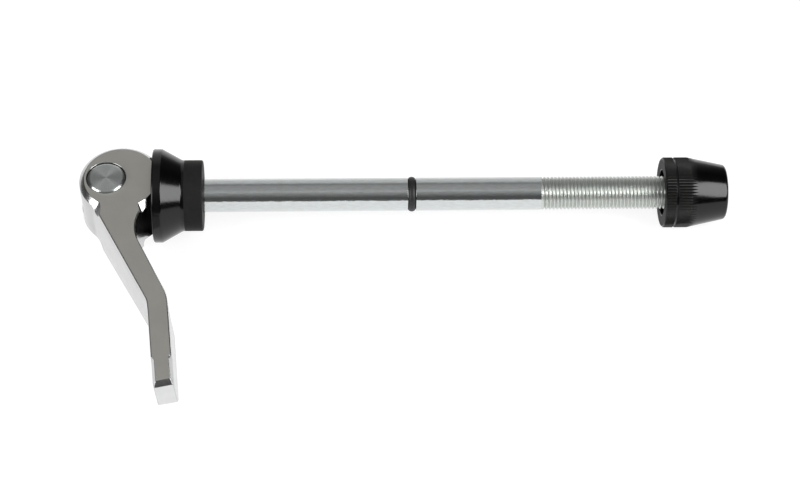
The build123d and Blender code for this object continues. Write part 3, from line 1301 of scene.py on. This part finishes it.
    def add_bore(
        self, skin: Surface, axes: Axes, angles: Array, slot_index: Array, loop: Array
    ) -> None:
        """Adds the bore's wall and the slot's walls and floor.

        Args:
            skin: The surface to add to.
            axes: The lever's frame.
            angles: The bore's angles along the loop.
            slot_index: The loop's points beside the slot.
            loop: The head's outline.
        """
        top = self.fork_half - self.bore_edge
        slot = np.array([self.slot_half, -self.slot_half])[:, None]
        levels = np.concatenate([[[top]], slot, [[-top]]])
        bore = self.bore_radius * unit_circle(angles)
        keep = np.ones((len(levels) - 1, len(angles) - 1), bool)
        keep[1, slot_index[0]:slot_index[-1]] = False
        # Painted shade: the bore's wall and the slot's walls and floor take the darkened aluminium.
        skin.add(axes.place(*bore.T, levels), Skin.CUT, keep)
        across = between(loop[slot_index], bore[slot_index], self.slot_rows)
        for level in slot[:, 0]:
            skin.add(axes.place(across[..., 0], across[..., 1], level), Skin.CUT)
        for end in (0, -1):
            skin.add(axes.place(*across[:, end].T, slot), Skin.CUT)

    def arm_rows(self) -> Array:
        """Rows of the arm, from the taper's start, round the tip, to its middle.

        They stand close at the neck's round, at the bend, and where the tip's chamfers start. A
        stretch of rows has a start, an end and a count. The round's starts with the taper, the
        blade's ends at a gap before the chamfers, and the tip's lies between two gaps.

        Returns:
            Rows of l and half width.
        """
        nose = self.reach - self.tip_edge
        lead = nose - self.tip_lead
        shoulder = self.half_width(nose)
        tip = rounded(np.array([
            (lead, self.half_width(lead)),
            (nose, shoulder),
            (self.reach, shoulder - self.tip_edge),
            (self.reach, 0),
        ]), [self.tip_ease] * 2, self.tip_ease_steps)
        side_start = self.reach - self.tip_side_length
        side_end = side_start + self.tip_side_run
        blade_start, blade_gap, blade_count = self.blade_rows
        tip_gap, nose_gap, tip_count = self.tip_rows
        stretches = [
            (self.taper_start, *self.round_rows),
            self.neck_rows,
            self.bend_rows,
            (blade_start, side_start - blade_gap, blade_count),
            (side_start, side_end, self.tip_side_rows),
            (side_end + tip_gap, nose - nose_gap, tip_count),
        ]
        reach = np.concatenate([np.linspace(*stretch) for stretch in stretches])
        return np.concatenate([np.stack([reach, self.half_width(reach)], axis=1), tip])

    def add_arm(self, skin: Surface, sides: dict[int, Array]) -> None:
        """Adds the arm: one closed section for each row, drawn in to a line at the tip's end.

        A section runs across the near face, down one flank, back across the far face and up the
        other flank. On the tip's end face its half width falls to 0, and its edges with it. Rows
        slant step by step to the tip's angle.

        Args:
            skin: The surface to add to.
            sides: Both sides of the lever's outline.
        """
        reach, half = self.arm_rows().T
        nose_half = self.half_width(self.reach) - self.tip_edge
        shrink = np.clip(half / nose_half, 0, 1)[:, None]
        fallen = np.maximum(self.half_width(reach) - half, 0)
        side_run = (reach - self.reach + self.tip_side_length) / self.tip_side_run
        grown = (self.tip_side_edge - self.fine_edge) * smooth_step(side_run)
        near_edge = np.maximum(grown - fallen / self.tip_side_steep, 0)
        fine = np.full_like(reach, self.fine_edge)
        near = self.edge_section(fine + near_edge, fine + near_edge * self.tip_side_steep)
        far = self.edge_section(fine, fine)[:, ::-1]
        tall = half[:, None]
        middle = tall / half[0] * np.array([1, -1]) * self.slot_half
        levels = np.concatenate(
            [tall - near[..., 1] * shrink, middle, far[..., 1] * shrink - tall], axis=1
        )
        insets = np.concatenate([near[..., 0], np.zeros_like(middle), far[..., 0]], axis=1)
        x_side, l_side = self.slanted(reach, levels, sides)
        grid = self.layout.lever_axes().place(
            self.section_ring(x_side[1] - insets, x_side[-1] + insets),
            self.section_ring(l_side[1], l_side[-1]),
            self.section_ring(levels, levels),
        )
        columns = self.face_columns
        far_face = columns + levels.shape[1] - 1
        skins = np.full((len(reach) - 1, grid.shape[1] - 1), Skin.EDGE)
        body = reach[:-1] < self.reach - self.tip_edge - self.tip_face_gap
        skins[body, :columns] = Skin.FACE
        skins[body, far_face:far_face + columns] = Skin.FACE
        # Painted light: the tip's end face takes the lighter copy of the flanks' finish.
        skins[half[1:] < nose_half] = Skin.END
        skin.add(grid, skins)

    def section_ring(self, right: Array, left: Array) -> Array:
        """One coordinate all round the arm's sections, with even steps across the two faces.

        Args:
            right: The coordinate down the flank on the cup's side, as rows by columns.
            left: The same on the outer flank.

        Returns:
            The coordinate over the near face, the flank, the far face and the other flank.
        """
        face = between(left[:, 0], right[:, 0], self.face_columns).T
        back = between(right[:, -1], left[:, -1], self.face_columns).T
        return np.concatenate([face, right[:, 1:], back[:, 1:], left[:, -2::-1]], axis=1)

    def slanted(
        self, reach: Array, levels: Array, sides: dict[int, Array]
    ) -> tuple[dict[int, Array], dict[int, Array]]:
        """Where each row meets the two flanks.

        A row's point at a distance d from the blade's middle lies at l - slope*d, with a slope
        that grows from 0 past the bend to that of the tip's end, and the tip's corners are drawn
        in by a small round. A flank is ruled from the upper outline to the lower one:
        x = upper + s*(lower - upper), where s runs from 0 in the upper face's plane to 1 in the
        lower face's.

        Args:
            reach: The rows' places.
            levels: The places along the pin, as rows by columns.
            sides: Both sides of the lever's upper outline.

        Returns:
            The x and the l of both flanks, as rows by columns.
        """
        turned = smooth_step((reach - self.bend_reach - self.slant_start) / self.slant_run)
        slope = math.tan(math.radians(self.tip_angle)) * turned
        into = np.clip(reach - (self.reach - self.corner_round), 0, self.corner_round)
        drawn = self.corner_round - np.sqrt(self.corner_round**2 - into**2)
        share = (self.fork_half - levels) / (2 * self.fork_half)
        x_side, l_side = {}, {}
        for side, line in sides.items():
            off_middle = side * self.blade_thickness / 2 + share * self.drift()
            l_side[side] = reach[:, None] - slope[:, None] * off_middle
            low = self.half_outline(side, low=True)
            upper, lower = (np.interp(l_side[side], a[:, 1], a[:, 0]) for a in (line, low))
            x_side[side] = upper + share * (lower - upper) - side * drawn[:, None]
        return x_side, l_side


@dataclass
class SoftBox:
    """A soft lamp: the direction it stands in, its size in metres and how bright its face is."""

    name: str
    towards: Colour
    width: float
    height: float
    radiance: float
    distance: float = 0.9
    aim: Colour = (0.05, -0.01, 0.0)

    def build(self) -> None:
        """Makes an area lamp that faces the skewer.

        A flat lamp of area A and radiance L gives off L*A*pi watts.
        """
        lamp = bpy.data.lights.new(self.name, "AREA")
        lamp.shape = "RECTANGLE"
        lamp.size, lamp.size_y = self.width, self.height
        lamp.energy = self.radiance * self.width * self.height * math.pi
        back = unit(np.array(self.towards))
        right = unit(np.cross((0, 0, 1), back))
        place = np.array(self.aim) + back * self.distance
        stand = put(self.name, lamp, Axes(place, right, np.cross(back, right), back))
        stand.visible_camera = False


@dataclass
class Studio:
    """White floor, grey sky with a pale horizon, two soft boxes and the camera.

    Angles are in degrees, and the floor's half side and the clip distances in metres. The floor
    has one grey for the light that it sends on, and another with a glow where it is seen. The sky
    is pairs of an angle, from the front over the top to the back, and a brightness, and it dims
    between two shares of X to a level at the sides. The camera's anchor is where the middle of
    the cup's clamp face falls in the picture, at the given depth.
    """

    layout: Layout
    floor_half: float = 12.0
    floor_rows: int = 9
    floor_drop: float = 0.06
    floor_colour: float = 0.86
    floor_shade: float = 0.26
    floor_lift: float = 0.85
    rim_rest: float = 1.2
    grip_rest: float = 4.0
    sky: tuple[Pair, ...] = (
        (0, 0.45), (3, 0.18), (7, 0.12), (14, 0.1), (26, 0.11), (38, 0.19), (56, 0.36), (67, 0.5),
        (80, 0.4), (108, 0.35), (120, 0.27), (126, 0.28), (136, 0.52), (144, 0.62), (166, 0.72),
        (180, 0.92),
    )
    sky_sides: Pair = (0.2, 0.5)
    side_level: float = 0.12
    focal_px: float = 2200.0
    frame_px: Pair = (800.0, 491.0)
    anchor_px: Pair = (203.5, 195.56)
    depth: float = 592.5
    yaw: float = 2.3
    roll: float = -0.447
    tilt: float = 36.5
    sensor: float = 36.0
    clip: Pair = (0.01, 100.0)

    def build(self) -> None:
        """Sets up the whole studio."""
        self.build_floor()
        self.build_sky()
        boxes = (
            SoftBox("right_box", (0.723, -0.385, 0.574), width=0.54, height=0.62, radiance=7.0),
            SoftBox("left_box", (-0.78, -0.40, 0.48), width=0.5, height=0.6, radiance=6.0),
        )
        for box in boxes:
            box.build()
            log.info("%s lit", box.name)
        self.build_camera()

    def build_floor(self) -> None:
        """Makes the floor that the cup's rim and the nut's grip rest on.

        The plane's height is z = a + b*x, through the lowest points of the rim and of the grip.
        """
        rim = (self.layout.rim_x + self.rim_rest, -self.layout.rim_radius)
        grip = (self.layout.clamp_x + self.grip_rest, -self.layout.nut_radius)
        slope = (grip[1] - rim[1]) / (grip[0] - rim[0])
        rise = (rim[1] - self.floor_drop - slope * rim[0]) * MM
        side = np.linspace(-self.floor_half, self.floor_half, self.floor_rows)
        x, y = np.meshgrid(side, side)
        grid = np.stack([x, y, rise + slope * x], axis=-1) / MM
        mesh = Surface().add(grid).mesh("floor")
        mesh.materials.append(self.floor_material())
        put("floor", mesh)

    def floor_material(self) -> bpy.types.Material:
        """White paper that glows for the camera and for mirrors, and takes a faint shadow there.

        Returns:
            The new material.
        """
        shader = Shader("white_paper")
        path = shader.add("LightPath").outputs
        mirrored = shader.number("MAXIMUM", path["Is Glossy Ray"], path["Is Transmission Ray"])
        seen = shader.number("MAXIMUM", path["Is Camera Ray"], mirrored)
        shader.feed(
            shader.skin,
            Base_Color=shader.blended(seen, (self.floor_colour,) * 3, (self.floor_shade,) * 3),
            Roughness=0.9,
            Specular_IOR_Level=0.0,
            Emission_Color=(1, 1, 1, 1),
            Emission_Strength=shader.number("MULTIPLY", seen, self.floor_lift),
        )
        return shader.material

    def build_sky(self) -> None:
        """Lights the scene by the angle from the front over the top to the back, with dim sides."""
        world = bpy.data.worlds.new("studio_sky")
        bpy.context.scene.world = world
        world.use_nodes = True
        sky = Nodes(world.node_tree)
        way = sky.add("SeparateXYZ", sky.add("TexCoord").outputs["Generated"]).outputs
        over = sky.number("ARCTAN2", way["Z"], sky.number("MULTIPLY", way["Y"], -1.0))
        ramp = sky.add("ValToRGB", sky.number("DIVIDE", over, math.pi))
        stops = ramp.color_ramp.elements
        stops[0].position, stops[1].position = 0.0, 1.0
        for angle, _ in self.sky[1:-1]:
            stops.new(angle / 180)
        for stop, (_, level) in zip(stops, self.sky):
            stop.color = (level, level, level, 1)
        across = sky.number("ABSOLUTE", way["X"])
        dimmed = sky.ranged(across, self.sky_sides, (1.0, self.side_level), "SMOOTHSTEP")
        sky.feed(sky.tree.nodes["Background"], Color=ramp.outputs["Color"], Strength=dimmed)

    def build_camera(self) -> None:
        """Sets the camera to the photograph's view.

        It looks at the pin's direction from the tilt angle, turned by yaw and roll, and stands
        where the middle of the cup's clamp face falls on its place in the frame.
        """
        tilt, yaw, roll = (math.radians(a) for a in (self.tilt, self.yaw, self.roll))
        axes = self.layout.lever_axes()
        x, away, pin = axes.along, -axes.side, axes.up
        ahead = math.sin(tilt) * away - math.cos(tilt) * pin
        above = math.cos(tilt) * away + math.sin(tilt) * pin
        forward = math.cos(yaw) * ahead + math.sin(yaw) * x
        right = math.cos(yaw) * x - math.sin(yaw) * ahead
        across = math.cos(roll) * right + math.sin(roll) * above
        up = math.cos(roll) * above - math.sin(roll) * right
        a = (self.anchor_px[0] - self.frame_px[0] / 2) / self.focal_px
        b = (self.frame_px[1] / 2 - self.anchor_px[1]) / self.focal_px
        place = -(forward + a * across + b * up) * self.depth * MM
        data = bpy.data.cameras.new("camera")
        data.sensor_width = self.sensor
        data.lens = self.focal_px / self.frame_px[0] * self.sensor
        data.clip_start, data.clip_end = self.clip
        bpy.context.scene.camera = put("camera", data, Axes(place, across, up, -forward))


def dress_lock_ring(ring: bpy.types.Object) -> None:
    """Gives the hidden lock ring its plastic."""
    ring.data.materials.clear()
    ring.data.materials.append(NYLON.material())


def main() -> None:
    """Loads the frame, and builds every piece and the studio."""
    logging.basicConfig(level=logging.INFO, format="%(name)s: %(message)s")
    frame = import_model()
    layout = Layout.read(frame["record"]["behaviour"]["joints"])
    for kind in (Rod, RubberRing, PivotPin, Cup, Lever, Nut):
        piece = kind(layout).build()
        log.info("%s rides on %s", piece.name, kind.body.value)
    dress_lock_ring(frame["nodes"]["lock_ring"])
    Studio(layout).build()
    bpy.context.scene.view_settings.view_transform = "Standard"


if __name__ == "__main__":
    main()
